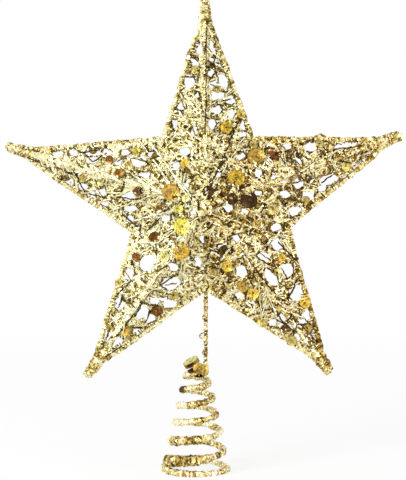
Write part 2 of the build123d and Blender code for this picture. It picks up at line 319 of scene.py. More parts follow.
def glitterMaterial(name, stops):
    # loose flakes in a clear coat: each facet and cell has its own gloss, lean and tone, the tone partly
    # the flakes' own and partly painted sparkle and shade
    material, nodes, links, shader = newMaterial(name)
    place = nodes.new("ShaderNodeTexCoord").outputs["Object"]
    cells = nodes.new("ShaderNodeTexVoronoi")
    cells.inputs["Scale"].default_value = glitter["cellScale"]
    links.new(place, cells.inputs["Vector"])
    parts = nodes.new("ShaderNodeSeparateColor")
    links.new(cells.outputs["Color"], parts.inputs[0])
    flake, strand = nodes.new("ShaderNodeAttribute"), nodes.new("ShaderNodeAttribute")
    flake.attribute_name, strand.attribute_name = "flake", "strand"
    byFacet = addMath(nodes, links, "MULTIPLY", flake.outputs["Fac"], glitter["facetShare"])
    byStrand = addMath(nodes, links, "MULTIPLY", strand.outputs["Fac"], glitter["strandShare"])
    cellShare = 1 - glitter["facetShare"] - glitter["strandShare"]
    byCell = addMath(nodes, links, "MULTIPLY", parts.outputs[0], cellShare)
    tone = addMath(nodes, links, "ADD", addMath(nodes, links, "ADD", byFacet, byCell), byStrand)
    ramp = nodes.new("ShaderNodeValToRGB")
    elements = ramp.color_ramp.elements
    while len(elements) < len(stops):
        elements.new(0.5)
    for element, (at, colour) in zip(elements, stops):
        element.position = at
        element.color = (*colour, 1)
    links.new(tone, ramp.inputs[0])
    links.new(ramp.outputs[0], shader.inputs["Base Color"])
    links.new(addRange(nodes, links, parts.outputs[1], *glitter["gloss"]), shader.inputs["Roughness"])
    addRelief(nodes, links, shader, glitter, parts.outputs[2])
    shader.inputs["Metallic"].default_value = glitter["metallic"]
    return material


film = dict(
    scuffScale=1100, scuffDetail=4, scuffsAndGlints=(-0.9, 2.6), gloss=(0.25, 0.5),
    bump=0.3, bumpDepth=0.0002, metallic=0.6, specular=0.25,
)


def sequinMaterial(name):
    # metallised film: one shade for each sequin, with fine scuffs that darken it in places and brighten it
    # in others, where the brightening is a painted glint
    material, nodes, links, shader = newMaterial(name)
    tint = nodes.new("ShaderNodeAttribute")
    tint.attribute_name = "tint"
    scuffs = nodes.new("ShaderNodeTexNoise")
    scuffs.inputs["Scale"].default_value = film["scuffScale"]
    scuffs.inputs["Detail"].default_value = film["scuffDetail"]
    links.new(nodes.new("ShaderNodeTexCoord").outputs["Object"], scuffs.inputs["Vector"])
    scuffedAndGlinting = nodes.new("ShaderNodeHueSaturation")
    links.new(addRange(nodes, links, scuffs.outputs["Fac"], *film["scuffsAndGlints"]), scuffedAndGlinting.inputs["Value"])
    links.new(tint.outputs["Color"], scuffedAndGlinting.inputs["Color"])
    links.new(scuffedAndGlinting.outputs[0], shader.inputs["Base Color"])
    links.new(addRange(nodes, links, scuffs.outputs["Fac"], *film["gloss"]), shader.inputs["Roughness"])
    addRelief(nodes, links, shader, film, scuffs.outputs["Fac"])
    shader.inputs["Metallic"].default_value = film["metallic"]
    shader.inputs["Specular IOR Level"].default_value = film["specular"]
    return material


frameGlitter = glitterMaterial("frameGlitter", glitter["frame"])
strandGlitter = glitterMaterial("strandGlitter", glitter["strand"])
litArmGlitter = glitterMaterial("litArmGlitter", glitter["pale"])
springGlitter = glitterMaterial("springGlitter", glitter["spring"])
sequinFilm = sequinMaterial("sequinFilm")
print("materials made")


# the arms on the lit side get the paler glitter, painted light
def glitterOn(armName, usual):  # some arms are paler than the rest
    return litArmGlitter if armName in glitter["paleArms"] else usual


# frame wires in a lumpy coat, which bows outward along the edges; pairs are an arm's two edges
coat = dict(
    radius=1.3, neck=0.55, neckReach=7.0, rough=0.2, swell=0.16, step=0.85, sides=8, mitre=0.4,
    tones=(0.05, 0.95), change=0.6, ridgeShade=(-0.3, 0.0, -0.05, -0.1, -0.05),
    edgeShade=((0.0, -0.3), (-0.05, -0.1), (-0.05, -0.1), (-0.3, -0.1), (-0.12, -0.12)),
    bulge=((1.0, 0.7), (1.3, 0.2), (1.4, 1.0), (1.7, 0.4), (0.1, 1.7)), bulgeLean=2.2,
    push=((0.2, 0.2), (0.2, 0.2), (0.5, 0.5), (1.4, 0.2), (0.2, 1.0)), pushReach=12.0,
)


def neckThick(place, bend):  # the coat thickens where the wires close to the tip
    return coat["radius"] + coat["neck"] * math.exp(-((place - bend).length / coat["neckReach"]) ** 2)


def makeWires(arm):
    armName = star["arms"][arm]
    wires = [(f"outline_wire_{1 if side > 0 else 2}", side, 0) for side in (1, -1)]
    wires += [(f"{faceNames[face]}_ridge_wire", 0, face) for face in (front, rear)]
    for label, side, face in wires:
        rng = random.Random(f"{armName}{label}")
        inner, bend, end = wireEnds(arm, side, face)
        along = (bend - inner).normalized()
        trim = star["hubRadius"] if face else -star["wireRadius"] * coat["mitre"]
        path = evenly(rounded([inner + along * trim, bend, end], star["tipBend"]), coat["step"])
        shade = coat["ridgeShade"][arm]
        if side:
            outside = acrossWay(arm) * side
            outside = (outside - along * outside.dot(along)).normalized()
            edge = 0 if side > 0 else 1
            most, push, shade = [coat[key][arm][edge] for key in ("bulge", "push", "edgeShade")]
            for k, place in enumerate(path):
                share = min(max((place - inner).dot(along) / (bend - inner).length, 0), 1)
                out = most * math.sin(math.pi * share ** coat["bulgeLean"])
                out += push * math.exp(-((place - bend).length / coat["pushReach"]) ** 2)
                path[k] = place + outside * out
        shape = newShape()
        addTube(shape, path, lambda place: neckThick(place, bend), rng, coat, dashes(coat, rng, shade))
        node = f"{armName}_arm_{label}"
        makePiece(node + "_coat", shape, glitterOn(armName, frameGlitter), node, "star")


for arm in range(armCount):
    makeWires(arm)
print("frame wires made")

# the larger gaps in the nets: place, width and height in the photograph's pixels, and a lean where it shows
gaps = (
    # middle of the star
    (185, 151, 10, 8), (186, 185, 5, 5), (176, 166, 7, 7), (139, 161, 14, 10), (144, 175, 10, 8),
    (153, 155, 8, 7), (218, 175, 5, 5), (241, 157, 7, 7), (258, 173, 6, 8), (278, 179, 14, 7),
    (228, 208, 8, 7), (193, 213, 5, 5), (165, 219, 10, 6), (130, 208, 12, 6), (276, 227, 9, 7),
    (278, 244, 11, 10), (235, 239, 8, 8), (222, 250, 8, 14), (204, 239, 7, 7), (198, 262, 6, 10),
    (242, 271, 11, 11), (264, 257, 12, 9), (287, 270, 12, 12), (271, 277, 9, 18, -30),
    (245, 211, 6, 6),
    # left arm
    (58, 153, 8, 6), (74, 153, 7, 5), (93, 152, 14, 5), (92, 160, 10, 5), (108, 152, 7, 6),
    (126, 153, 8, 6), (118, 162, 7, 6), (65, 179, 5, 5), (70, 182, 5, 5), (83, 187, 8, 6),
    (92, 195, 6, 5), (102, 192, 6, 6), (128, 195, 12, 8), (104, 205, 7, 5), (130, 219, 7, 6),
    # top arm
    (199, 49, 7, 11), (213, 47, 5, 11), (194, 63, 8, 7), (221, 68, 6, 6), (213, 60, 5, 5),
    (211, 72, 5, 6), (223, 82, 9, 15), (213, 84, 6, 8), (190, 83, 11, 11), (217, 96, 11, 8),
    (197, 94, 4, 6), (231, 100, 9, 6), (181, 106, 7, 7), (216, 110, 9, 7), (231, 114, 6, 8),
    (174, 123, 6, 8), (211, 124, 7, 10), (244, 126, 6, 8), (193, 131, 7, 8), (243, 134, 7, 5),
    # lower right arm
    (298, 280, 5, 5), (297, 293, 13, 15), (240, 295, 7, 6), (283, 317, 12, 7), (272, 323, 6, 6),
    (286, 327, 15, 6), (308, 315, 10, 6), (303, 323, 12, 8), (312, 333, 7, 10), (320, 339, 8, 7),
    (297, 337, 6, 6),
    # right arm
    (286, 147, 8, 6), (311, 146, 12, 9), (297, 158, 8, 10), (298, 183, 9, 11), (310, 178, 8, 8),
    (329, 179, 17, 10, 30), (308, 196, 9, 10), (284, 194, 10, 6), (295, 211, 12, 8), (258, 192, 6, 6),
    (368, 157, 10, 5, 25), (358, 164, 6, 5), (350, 144, 12, 5), (339, 147, 8, 4), (322, 188, 7, 5),
    # lower left arm
    (147, 263, 12, 19, 28), (129, 273, 8, 12), (173, 267, 9, 8), (171, 283, 17, 12, 18),
    (120, 302, 9, 13), (142, 312, 9, 14, 35), (150, 318, 8, 8), (170, 304, 12, 7, 15),
    (155, 300, 7, 7), (163, 298, 5, 5), (138, 332, 8, 6), (108, 333, 5, 14, 18), (117, 343, 9, 9),
    (105, 347, 5, 9, 18),
)
# dark threads over the strands and gaps, dark as painted shade for strands lying in shadow: from and to, in
# pixels
threads = (
    # top arm
    (207, 18, 206, 60), (206, 60, 206, 100), (206, 100, 205, 135), (207, 66, 214, 70),
    (215, 67, 214, 58), (217, 70, 227, 74), (216, 71, 219, 84), (209, 81, 216, 71), (210, 84, 220, 90),
    (220, 90, 237, 97), (227, 91, 230, 80), (210, 103, 224, 106), (223, 101, 231, 99),
    (211, 119, 221, 119), (243, 131, 250, 133), (179, 91, 187, 101), (190, 54, 197, 61),
    (183, 71, 200, 71), (174, 110, 183, 111), (171, 121, 174, 130),
    # left arm
    (20, 147, 40, 152), (22, 155, 42, 163), (57, 167, 73, 175), (73, 170, 88, 197), (80, 183, 93, 180),
    (87, 193, 107, 198), (100, 203, 110, 210), (117, 197, 142, 200), (123, 215, 138, 227),
    (83, 152, 93, 162), (80, 153, 100, 150), (93, 162, 107, 153), (117, 162, 132, 153),
    (132, 158, 150, 162), (130, 175, 143, 178),
    # lower left arm
    (123, 267, 132, 282), (133, 260, 135, 275), (115, 297, 132, 280), (123, 293, 120, 305),
    (140, 302, 160, 307), (135, 317, 143, 302), (145, 323, 150, 310), (133, 327, 143, 328),
    (153, 290, 183, 297), (157, 272, 167, 265), (153, 285, 160, 273), (165, 285, 177, 283),
    (102, 348, 113, 323), (108, 337, 111, 323), (100, 360, 123, 345), (151, 292, 133, 315),
    (133, 315, 118, 335), (118, 308, 124, 296),
    # lower right arm
    (242, 250, 260, 275), (260, 275, 280, 300), (281, 303, 302, 326), (302, 326, 322, 348),
    (257, 257, 271, 266), (272, 253, 281, 292), (278, 242, 298, 262), (281, 268, 287, 278),
    (293, 262, 293, 278), (287, 300, 298, 278), (270, 308, 295, 333), (276, 319, 297, 332),
    (298, 312, 308, 323), (297, 324, 315, 325), (305, 337, 317, 325),
    # right arm
    (280, 144, 302, 168), (302, 146, 316, 137), (288, 160, 296, 150), (296, 150, 304, 166),
    (290, 184, 338, 172), (290, 180, 298, 198), (267, 159, 279, 154), (271, 163, 276, 151),
    (321, 183, 332, 175), (305, 186, 310, 180), (278, 198, 302, 202), (330, 150, 362, 146),
    (336, 162, 378, 148), (316, 146, 326, 156),
    # across single gaps
    (140, 158, 150, 165), (130, 171, 148, 172), (158, 216, 168, 209), (147, 231, 160, 218),
    (219, 252, 224, 246), (259, 252, 271, 261), (160, 285, 173, 277), (188, 254, 196, 262),
)
web = dict(
    corners=(4, 5, 5, 6), cornerStray=0.3, gapLean=(-25, 25), maskFine=4,  # outlines of the gaps
    gapGrow=(0.5, 1.2), growFrom=(60, 120),  # gaps open up away from the hub
    fill=(1.7, 2.4), tries=60000, inset=0.5, cellReach=9.0, neighbours=18.0, rearKeep=0.85,  # cells between
    crook=0.8, crookScale=0.35, rough=0.24, swell=0.24, step=1.0, sides=5,  # form of a strand
    lift=0.1, uneven=0.9, unevenScale=0.11, faceApart=9.0, ridgeLift=1.1, ridgeWidth=3.0,  # its bed
    # painted light: strands are paler on the lit arms; they are also darker near the hub
    paler=(0.0, 0.15, 0.16, 0.05, 0.0), hubDark=0.16, hubReach=50.0,  # shade, by arm and near the hub
    # under: the tangle below, toned dark as painted shade beneath the top strands
    under=dict(radius=(0.62, 0.95), tones=(0.0, 0.55), skip=0.03),
    rim=dict(radius=(0.34, 0.55), tones=(0.4, 1.0), darkRadius=(0.26, 0.4), darkTones=(-0.7, 0.0),
             darkShare=0.6, over=(1, 5), off=0.9, liftShare=(0.3, 1.0)),
    stray=dict(radius=(0.36, 0.6), tones=(0.6, 1.05), darkTones=(-0.7, -0.1), darkShare=0.2,
               count={front: 2600, rear: 700}, length=(5, 14), lean=45, bend=0.03, lift=0.9,
               liftShare=(0.4, 1.0)),
    thread=dict(radius=(0.3, 0.46), tones=(-0.8, -0.1), lift=1.4, outside=-2.5),
    lines=dict(count=6, edge=(0.08, 0.92), ridge=(0.05, 0.98), drift=0.3, radius=(0.3, 0.46),
               tones=(0.5, 1.05), lift=1.5, edgeRadius=1.35, shadowTone=-0.35, edgeLift=0.9, crossing=0.1),
    # along: pale strands beside the ridge, a painted highlight, most of them on the lit arms
    along=dict(count=(26, 45, 32, 12, 14), reach=4.0, start=(0.15, 0.8), length=(10, 34), drift=1.5,
               radius=(0.3, 0.5), tones=(0.5, 1.0), lift=0.9),
    over=dict(share=0.75, usual=2, times=dict(dark=0, faint=5), reach=5.0, reachShare=(0.4, 1.0),
              length=(7, 12), radius=(0.26, 0.4), lift=1.7),
    wrap=dict(count=26, span=(0.02, 0.98), turns=1.3, pitch=1.5, radius=0.4, tones=(0.1, 1.0), reach=0.2,
              pointsPerTurn=12),
)
loop = dict(  # a loose loop of strand on one edge
    arm="right", pixels=((313, 142), (314, 137), (320, 134), (326, 137), (328, 142)),
    radius=0.55, tone=0.15,
)

# sequins: where each colour lies, in pixels; the nets lay strands over them
sequins = dict(
    yellow=((184, 227), (137, 153), (180, 208)),
    pale=((166, 257), (186, 200), (277, 273), (193, 361)),
    gold=((84, 176), (255, 224), (173, 294), (214, 272), (305, 199), (129, 167), (240, 115), (253, 146)),
    amber=((180, 250), (186, 164), (228, 265), (254, 292), (281, 258), (304, 303), (124, 329), (313, 347),
           (196, 367)),
    tan=((171, 194), (256, 158), (243, 285)),
    olive=((236, 180), (225, 128)),
    brown=((138, 190), (156, 237), (137, 257), (110, 161), (297, 174), (157, 310), (119, 174), (161, 205)),
    dark=((207, 192), (248, 199), (231, 198)),
    red=((273, 157),),
    faint=((82, 162), (345, 165), (272, 208), (319, 145), (120, 283), (102, 181), (292, 339), (196, 70),
           (216, 90), (108, 345), (263, 320), (128, 298), (214, 246)),
    thickness=0.22, hole=0.8, cup=0.16, segments=24,  # form of a disc
    faceShare=0.72, lift=0.3, sink=0.5, match=11.0,  # its seat, and how far off its spot may be
    untidy=68.0, calm=8.6, leastUntidy=0.2, slanted=("brown",), slant=60.0,  # large discs lie calmer
    leans=dict(red=Vector((0.9, -1, 1.3))), fade=(0.85, 1.1),
    others=("faint", "gold", "faint", "tan"),  # on the rear, and where no spot is near
    profile=((0.0, 0.0), (0.1, 0.0), (0.34, 0.15), (0.42, 0.2), (0.88, 0.8), (1.0, 1.0)),
    ringPaintedShade=(0.4, 0.92, 0.65, 1.0, 0.82),
)
# the tints from pale to dark are partly the films' own colours and partly painted reflection and shade of
# one gold film
tints = dict(
    yellow=(0.82, 0.7, 0.11), pale=(0.84, 0.77, 0.26), gold=(0.58, 0.42, 0.1), amber=(0.74, 0.47, 0.065),
    tan=(0.54, 0.33, 0.06), olive=(0.56, 0.36, 0.035), brown=(0.25, 0.1, 0.01),
    dark=(0.065, 0.028, 0.005), red=(0.3, 0.08, 0.015), faint=(0.62, 0.5, 0.15),
)


def turnOf(way):
    return math.degrees(math.atan2(-way.y, way.x))


def makeSectors(face):  # the ten facets of a face, in order round the hub as the camera sees it
    hub = hubPlace(face)
    middle = toPixel(hub)
    marks = [place for arm in range(armCount) for place in (wireEnds(arm, 0, face)[1], cornerPlace(arm))]
    first = turnOf(toPixel(marks[0]) - middle)
    turns = [(turnOf(toPixel(place) - middle) - first) % 360 for place in marks]
    facets = []
    for k, (mark, following) in enumerate(zip(marks, marks[1:] + marks[:1])):
        arm, side = (k // 2, 1) if k % 2 == 0 else ((k // 2 + 1) % armCount, -1)
        inner, bend, _ = wireEnds(arm, side, 0)
        facets.append(dict(
            arm=arm, normal=(mark - hub).cross(following - hub).normalized(),
            corner=toPixel(inner), bend=toPixel(bend),
            ridge=(toPixel(wireEnds(arm, 0, face)[1]) - middle).normalized(),
        ))
    return dict(hub=hub, middle=middle, first=first, turns=turns, facets=facets)


sectors = {face: makeSectors(face) for face in (front, rear)}


def facetAt(pixel, face):
    sector = sectors[face]
    turn = (turnOf(pixel - sector["middle"]) - sector["first"]) % 360
    return sector["facets"][bisect_right(sector["turns"], turn) - 1]


def inwardOf(pixel, face):  # how far a pixel lies inside the star's outline
    facet = facetAt(pixel, face)
    edge = (facet["bend"] - facet["corner"]).normalized()
    reach = pixel - facet["corner"]
    inside = sectors[face]["middle"] - facet["corner"]
    depth = edge.x * reach.y - edge.y * reach.x
    return depth if edge.x * inside.y - edge.y * inside.x > 0 else -depth


def onFace(pixel, face):  # the place behind a pixel on a facet, which is uneven and higher at the ridge
    facet, sector = facetAt(pixel, face), sectors[face]
    place = pixelOnPlane(pixel, sector["hub"], facet["normal"])
    reach = pixel - sector["middle"]
    beside = facet["ridge"].x * reach.y - facet["ridge"].y * reach.x
    lift = web["lift"] + web["ridgeLift"] * math.exp(-(beside / web["ridgeWidth"]) ** 2)
    lift += web["uneven"] * noise.noise(Vector((*(pixel * web["unevenScale"]), face * web["faceApart"])))
    return place + toRear * face * lift


def gapShapes():  # each gap as a polygon of straight sides
    rng, shapes = random.Random("gaps"), []
    for x, y, wide, tall, *lean in gaps:
        angle = math.radians(lean[0] if lean else rng.uniform(*web["gapLean"]))
        way = Vector((math.cos(angle), -math.sin(angle)))
        if tall > wide:
            way = Vector((math.sin(angle), -math.cos(angle)))
        across, count = Vector((-way.y, way.x)), rng.choice(web["corners"])
        square = math.sqrt(math.tau / count / math.sin(math.tau / count))
        near, far = web["growFrom"]
        apart = (Vector((x, y)) - toPixel(star["centre"])).length
        least, most = web["gapGrow"]
        grow = least + (most - least) * min(max((apart - near) / (far - near), 0), 1)
        long, short = [(size / 2 + grow) * square for size in (max(wide, tall), min(wide, tall))]
        first, shape = rng.random(), []
        for k in range(count):
            turn = math.tau * (k + first + rng.uniform(-1, 1) * web["cornerStray"]) / count
            shape.append(Vector((x, y)) + way * long * math.cos(turn) + across * short * math.sin(turn))
        shapes.append(shape)
    return shapes


def sideWays(shape):
    return [(a, b, (b - a).normalized()) for a, b in zip(shape, shape[1:] + shape[:1])]


def makeMask(shapes):  # which points of the picture lie in a gap
    fine = web["maskFine"]
    mask = np.zeros((view["size"][1] * fine, view["size"][0] * fine), bool)
    for shape in shapes:
        left, top = [int(min(p[axis] for p in shape) * fine) for axis in (0, 1)]
        right, low = [int(max(p[axis] for p in shape) * fine) + 1 for axis in (0, 1)]
        rows, columns = np.mgrid[top:low, left:right] / fine
        sides = [(columns - a.x) * way.y - (rows - a.y) * way.x for a, _, way in sideWays(shape)]
        mask[top:low, left:right] |= (np.array(sides) <= 0).all(0) | (np.array(sides) >= 0).all(0)
    return mask


gapOutlines = gapShapes()
gapMask = makeMask(gapOutlines)


def isOpen(pixel):
    row, column = int(pixel.y * web["maskFine"]), int(pixel.x * web["maskFine"])
    return 0 <= row < gapMask.shape[0] and 0 <= column < gapMask.shape[1] and gapMask[row, column]


def fillSeeds(face, rng):  # small cells crowd into all that the gaps leave
    marks = [facet[key] for facet in sectors[face]["facets"] for key in ("corner", "bend")]
    low, high = [[pick(mark[axis] for mark in marks) for axis in (0, 1)] for pick in (min, max)]
    room, count = np.zeros((web["tries"], 3)), 0
    for _ in range(web["tries"]):
        spot = Vector((rng.uniform(low[0], high[0]), rng.uniform(low[1], high[1])))
        radius, taken = rng.uniform(*web["fill"]), room[:count]
        clear = (taken[:, 0] - spot.x) ** 2 + (taken[:, 1] - spot.y) ** 2 > (taken[:, 2] + radius) ** 2
        if clear.all() and not isOpen(spot) and inwardOf(spot, face) > web["inset"]:
            room[count] = spot.x, spot.y, radius
            count += 1
    return room[:count]


def cutCell(cell, seed, way, reach, number):
    kept = []
    for k, (px, py, label) in enumerate(cell):
        qx, qy, _ = cell[(k + 1) % len(cell)]
        here = (px - seed[0]) * way[0] + (py - seed[1]) * way[1] - reach
        there = (qx - seed[0]) * way[0] + (qy - seed[1]) * way[1] - reach
        part = here / (here - there) if here != there else 0
        crossing = (px + (qx - px) * part, py + (qy - py) * part)
        if here <= 0:
            kept.append((px, py, label))
            if there > 0:
                kept.append((*crossing, number))
        elif there <= 0:
            kept.append((*crossing, label))
    return kept


def webEdges(seeds):  # the walls between the cells
    far, edges = web["cellReach"], []
    for number, (x, y, radius) in enumerate(seeds):
        apart = np.hypot(seeds[:, 0] - x, seeds[:, 1] - y)
        near = np.flatnonzero(apart < web["neighbours"])
        cell = [(x + far * i, y + far * j, -1) for i, j in ((-1, -1), (1, -1), (1, 1), (-1, 1))]
        for other in near[np.argsort(apart[near])][1:]:
            size = max(math.hypot(p[0] - x, p[1] - y) for p in cell) if cell else 0
            if apart[other] > 2 * size + radius:
                break
            ox, oy, otherRadius = seeds[other]
            reach = (apart[other] ** 2 + radius ** 2 - otherRadius ** 2) / 2
            cell = cutCell(cell, (x, y), (ox - x, oy - y), reach, int(other))
        for k, (px, py, label) in enumerate(cell):
            if label > number:
                qx, qy, _ = cell[(k + 1) % len(cell)]
                edges.append((Vector((px, py)), Vector((qx, qy))))
    return edges


# a strand over pixels, cut at the gaps and the outline
def layStrand(shapes, spots, face, lift, radius, tone, rng):
    run, runs = [], []
    for spot in spots:
        if isOpen(spot) or inwardOf(spot, face) < 0:
            runs.append(run)
            run = []
        else:
            run.append(spot)
    for run in runs + [run]:
        if len(run) > 1 and (run[-1] - run[0]).length > 1:
            middle, way = run[len(run) // 2], toRear * face * lift
            arm = facetAt(middle, face)["arm"]
            path = [onFace(spot, face) + way for spot in run]
            # painted light: paler on the lit arms, and darker near the hub
            near = math.exp(-((middle - sectors[face]["middle"]).length / web["hubReach"]) ** 2)
            shade = tone + web["paler"][arm] - web["hubDark"] * near
            addTube(shapes[arm], path, radius, rng, web, shade)


def crooked(start, end, rng):  # pixels from end to end, wavering between them
    count = max(int((end - start).length), 2)
    across = Vector((start.y - end.y, end.x - start.x)).normalized()
    seed, spots = rng.uniform(*tube["seeds"]), []
    for k in range(count + 1):
        push = web["crook"] * math.sin(math.pi * k / count) * waver(k * web["crookScale"], seed)
        spots.append(start.lerp(end, k / count) + across * push)
    return spots


# the tangle below is toned dark as painted shade under the strands on top
def layShadedUnder(shapes, seeds, face, rng):  # the dark tangle below
    for start, end in webEdges(seeds):
        if rng.random() > web["under"]["skip"]:
            radius, tone = rng.uniform(*web["under"]["radius"]), rng.uniform(*web["under"]["tones"])
            layStrand(shapes, crooked(start, end, rng), face, 0, radius, tone, rng)


def layRims(shapes, face, rng):  # straight strands that cross beside the gaps
    rim = web["rim"]
    for outline in gapOutlines:
        middle = sum(outline, Vector((0, 0))) / len(outline)
        for a, b, way in sideWays(outline):
            off = Vector((-way.y, way.x))
            off = off * rim["off"] * (1 if off.dot(a.lerp(b, 0.5) - middle) > 0 else -1)
            start = a + off - way * rng.uniform(*rim["over"])
            end = b + off + way * rng.uniform(*rim["over"])
            dark = rng.random() < rim["darkShare"]
            tone = rng.uniform(*rim["darkTones" if dark else "tones"])
            lift = rng.uniform(*rim["liftShare"]) * web["stray"]["lift"]
            radius = rng.uniform(*rim["darkRadius" if dark else "radius"])
            layStrand(shapes, crooked(start, end, rng), face, lift, radius, tone, rng)


def layStrays(shapes, seeds, face, rng):  # short strands on top, most of them bright
    stray = web["stray"]
    for _ in range(stray["count"][face]):
        x, y, _ = seeds[rng.randrange(len(seeds))]
        ridge = facetAt(Vector((x, y)), face)["ridge"]
        lean = math.radians(90 + rng.gauss(0, stray["lean"]))
        way = Vector((ridge.x * math.cos(lean) - ridge.y * math.sin(lean),
                      ridge.x * math.sin(lean) + ridge.y * math.cos(lean)))
        bend, count = rng.gauss(0, stray["bend"]), int(rng.uniform(*stray["length"]))
        spots = [Vector((x, y)) + way * k + Vector((-way.y, way.x)) * bend * k * k for k in range(count)]
        dark = rng.random() < stray["darkShare"]
        tone = rng.uniform(*stray["darkTones" if dark else "tones"])
        lift = stray["lift"] * rng.uniform(*stray["liftShare"])
        layStrand(shapes, spots, face, lift, rng.uniform(*stray["radius"]), tone, rng)


# the pale strands along the ridge are a painted highlight, with more of them on the lit arms
def layRidgeHighlight(shapes, arm, rng):  # long pale strands beside the front ridge
    along, middle = web["along"], sectors[front]["middle"]
    tip = toPixel(wireEnds(arm, 0, front)[1])
    way = (tip - middle).normalized()
    across = Vector((-way.y, way.x))
    for _ in range(along["count"][arm]):
        start = middle.lerp(tip, rng.uniform(*along["start"]))
        start += across * rng.uniform(-1, 1) * along["reach"]
        end = start + way * rng.uniform(*along["length"]) + across * rng.gauss(0, along["drift"])
        radius, tone = rng.uniform(*along["radius"]), rng.uniform(*along["tones"])
        spots = crooked(start, end, rng)
        layStrand(shapes, spots, front, along["lift"] * rng.random(), radius, tone, rng)


def layLines(shapes, face, rng):  # long strands from the outline to the ridge
    lines, sector = web["lines"], sectors[face]
    for arm in range(armCount):
        tip = toPixel(wireEnds(arm, 0, face)[1])
        for facet in [facet for facet in sector["facets"] if facet["arm"] == arm]:
            for _ in range(lines["count"]):
                share = rng.uniform(*lines["edge"])
                end = share + rng.uniform(-1, 1) * lines["drift"]
                end = min(max(end, lines["ridge"][0]), lines["ridge"][1])
                start = facet["corner"].lerp(facet["bend"], share)
                spots = crooked(start, sector["middle"].lerp(tip, end), rng)
                radius, tone = rng.uniform(*lines["radius"]), rng.uniform(*lines["tones"])
                if face == front and rng.random() < lines["crossing"]:
                    path = [onFace(spot, face) + toRear * face * lines["edgeLift"]
                            for spot in spots if inwardOf(spot, face) > 0]
                    addTube(shapes[arm], path, radius, rng, web, rng.uniform(*web["rim"]["darkTones"]))
                else:
                    # a wider dark strand under each line shows at its sides as a painted shadow
                    wide = radius * lines["edgeRadius"]
                    layStrand(shapes, spots, face, lines["edgeLift"], wide, lines["shadowTone"], rng)
                    layStrand(shapes, spots, face, lines["lift"], radius, tone, rng)


def layOver(shapes, rng):  # strands over the edges of the sequins
    over, rim = web["over"], web["rim"]
    for name in tints:
        for spot in sequins[name] * over["times"].get(name, over["usual"]):
            if rng.random() < over["share"] and inwardOf(Vector(spot), front) > over["reach"]:
                turn = math.tau * rng.random()
                out = Vector((math.cos(turn), math.sin(turn)))
                half = Vector((-out.y, out.x)) * rng.uniform(*over["length"]) / 2
                middle = Vector(spot) + out * rng.uniform(*over["reachShare"]) * over["reach"]
                dark = rng.random() < rim["darkShare"]
                tone = rng.uniform(*rim["darkTones" if dark else "tones"])
                radius = rng.uniform(*over["radius"])
                spots = crooked(middle - half, middle + half, rng)
                layStrand(shapes, spots, front, over["lift"], radius, tone, rng)


# the threads' dark tone is painted shade
def layThreads(shapes, rng):  # dark threads, out to the outline and a little over it
    thread = web["thread"]
    for x, y, endX, endY in threads:
        spots = crooked(Vector((x, y)), Vector((endX, endY)), rng)
        arm = facetAt(spots[len(spots) // 2], front)["arm"]
        spots = [spot for spot in spots if inwardOf(spot, front) > thread["outside"]]
        path = [onFace(spot, front) - toRear * thread["lift"] for spot in spots]
        addTube(shapes[arm], path, rng.uniform(*thread["radius"]), rng, web, rng.uniform(*thread["tones"]))


def layWraps(shape, arm, rng):  # short turns of strand round the outline wires
    wrap, fine = web["wrap"], web["wrap"]["pointsPerTurn"]
    for side in (1, -1):
        inner, bend, _ = wireEnds(arm, side, 0)
        along = (bend - inner).normalized()
        outside = along.cross(toRear)
        for _ in range(wrap["count"]):
            foot, first, path = inner.lerp(bend, rng.uniform(*wrap["span"])), rng.random(), []
            for k in range(int(wrap["turns"] * fine) + 1):
                turn = first + k / fine
                out = toRear * math.cos(math.tau * turn) + outside * math.sin(math.tau * turn)
                away = out * (coat["radius"] + wrap["reach"])
                path.append(foot + away + along * wrap["pitch"] * k / fine)
            addTube(shape, path, wrap["radius"], rng, web, rng.uniform(*wrap["tones"]))


def makeNets(face):
    rng = random.Random(f"net{face}")
    seeds = fillSeeds(face, rng)
    if face == rear:  # the rear is more open
        seeds = seeds[[rng.random() < web["rearKeep"] for _ in seeds]]
    shapes = [newShape() for _ in range(armCount)]
    layShadedUnder(shapes, seeds, face, rng)
    layRims(shapes, face, rng)
    layStrays(shapes, seeds, face, rng)
    layLines(shapes, face, rng)
    if face == front:
        layThreads(shapes, rng)
        layOver(shapes, rng)
        for arm in range(armCount):
            layRidgeHighlight(shapes, arm, rng)
            layWraps(shapes[arm], arm, rng)
        path = [pixelOnPlane(pixel, star["centre"], toRear) for pixel in loop["pixels"]]
        addTube(shapes[star["arms"].index(loop["arm"])], path, loop["radius"], rng, web, loop["tone"])
    for arm, armName in enumerate(star["arms"]):
        node = f"{armName}_arm_{faceNames[face]}_net"
        material = glitterOn(armName, strandGlitter)
        makePiece(node + "_strands", shapes[arm], material, node, "star")
    print(faceNames[face], "nets wound:", len(seeds), "cells")


for face in (front, rear):
    makeNets(face)


# each disc of the solids becomes a cupped sequin
def discsOf(node):  # centre, axis and diameter of each disc in a node, in millimetres
    shape = bmesh.new()
    shape.from_mesh(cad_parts[node].data)
    bmesh.ops.remove_doubles(shape, verts=shape.verts, dist=1e-6)
    left, discs = set(shape.verts), []
    while left:
        queue, island = [left.pop()], []
        while queue:
            vert = queue.pop()
            island.append(vert.co / mm)
            for edge in vert.link_edges:
                other = edge.other_vert(vert)
                if other in left:
                    left.remove(other)
                    queue.append(other)
        places = np.array(island)
        middle = (places.min(0) + places.max(0)) / 2
        axis = Vector(np.linalg.svd(places - middle)[2][2])
        discs.append((Vector(middle), axis, 2 * np.linalg.norm(places - middle, axis=1).max()))
    shape.free()
    return sorted(discs, key=lambda disc: tuple(round(c, 3) for c in disc[0]))


